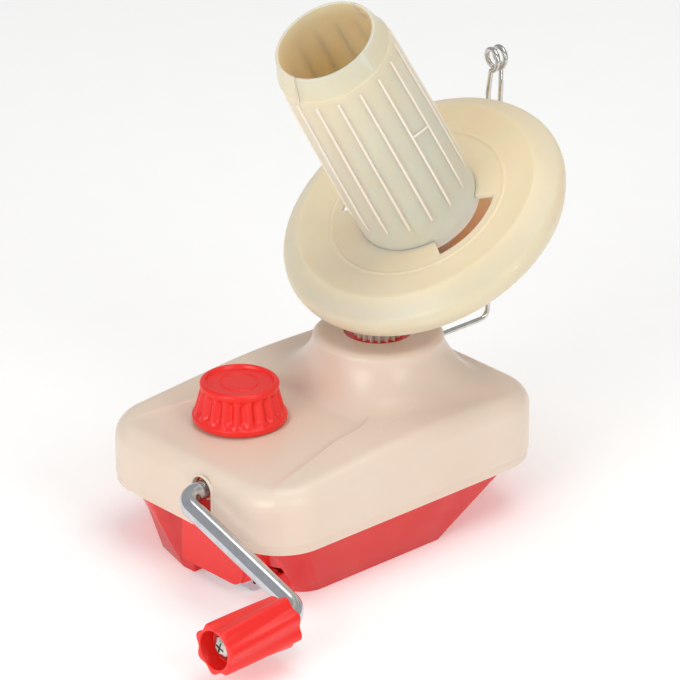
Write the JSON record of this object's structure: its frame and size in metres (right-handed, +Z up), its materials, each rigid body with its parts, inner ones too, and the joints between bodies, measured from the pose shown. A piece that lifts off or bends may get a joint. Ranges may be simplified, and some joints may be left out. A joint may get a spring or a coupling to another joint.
{
  "type": "yarn ball winder",
  "caption": "Hand-cranked yarn ball winder with a tilted yarn tube and flange geared to a neck, a bent crank with a loose grip, a wire yarn guide and a knob-driven table clamp.",
  "frame": {"origin": "on the flat underside of the base, on the object's middle plane and under the middle of the top cover", "axes": "+Z up from the underside; -Y is the crank end, +Y the yarn guide end; +X is the side that the crank handle reaches out to in the stored pose"},
  "size_m": [0.1578, 0.2574, 0.2216],
  "materials": {
    "cream_plastic": "glossy moulded plastic, slightly translucent",
    "red_plastic": "glossy moulded plastic",
    "red_grip_plastic": "glossy moulded plastic with a fluted or lobed side",
    "nylon": "unpainted nylon, greased",
    "zinc_steel": "zinc plated, bright",
    "nickel_steel": "nickel plated, polished"
  },
  "bodies": {
    "frame": {"top_cover": "cream_plastic", "base_tub": "red_plastic", "gear_frame": "red_plastic", "sun_gear": "nylon", "spindle_foot_bush": "nylon", "spindle_neck_bush": "nylon", "crank_bushes": "nylon", "case_screws": "zinc_steel", "frame_screws": "zinc_steel", "guide_socket": "cream_plastic"},
    "crank": {"crank_rod": "zinc_steel", "crown_wheel": "nylon", "crank_clip": "zinc_steel", "grip_screw": "nickel_steel"},
    "grip": {"handle_grip": "red_grip_plastic"},
    "rotor": {"spindle": "zinc_steel", "spindle_pinion": "nylon", "carrier": "red_plastic", "carrier_screw": "zinc_steel", "carrier_bush": "nylon"},
    "bobbin": {"yarn_tube": "cream_plastic", "flange_dish": "cream_plastic", "tube_axle": "zinc_steel", "tube_gear": "cream_plastic", "tube_screw": "zinc_steel"},
    "clamp": {"clamp_knob": "red_grip_plastic", "clamp_screw": "zinc_steel", "knob_washer": "zinc_steel"},
    "jaw": {"clamp_jaw": "zinc_steel", "clamp_nut": "zinc_steel"},
    "guide": {"yarn_guide": "nickel_steel"}
  },
  "joints": [
    {"name": "rotor_spin", "type": "hinge", "parent": "frame", "child": "rotor", "pos_m": [0, 0.0305, 0], "axis": [0, 0, 1], "continuous": true},
    {"name": "crank_spin", "type": "hinge", "parent": "frame", "child": "crank", "pos_m": [0.012, 0, 0.041], "axis": [0, 1, 0], "continuous": true},
    {"name": "tube_spin", "type": "hinge", "parent": "rotor", "child": "bobbin", "pos_m": [0, 0.0305, 0.1614], "axis": [0, -0.515, 0.8572], "continuous": true},
    {"name": "grip_spin", "type": "hinge", "parent": "crank", "child": "grip", "pos_m": [0.08428, -0.11, 0.01751], "axis": [0, 1, 0], "continuous": true},
    {"name": "clamp_turn", "type": "hinge", "parent": "frame", "child": "clamp", "pos_m": [-0.012, -0.035, 0], "axis": [0, 0, 1], "range_deg": [0, 2160]},
    {"name": "jaw_slide", "type": "slide", "parent": "frame", "child": "jaw", "axis": [0, 0, -1], "range_m": [0, 0.018]},
    {"name": "guide_swing", "type": "hinge", "parent": "frame", "child": "guide", "pos_m": [-0.024, 0, 0.046], "axis": [0, 1, 0], "range_deg": [-90, 90]}
  ],
  "couplings": [
    {"joint": "crank_spin", "follows": "rotor_spin", "ratio": 0.28571},
    {"joint": "tube_spin", "follows": "rotor_spin", "ratio": 0.29032},
    {"joint": "clamp_turn", "follows": "jaw_slide", "rad_per_m": 2094.4}
  ]
}
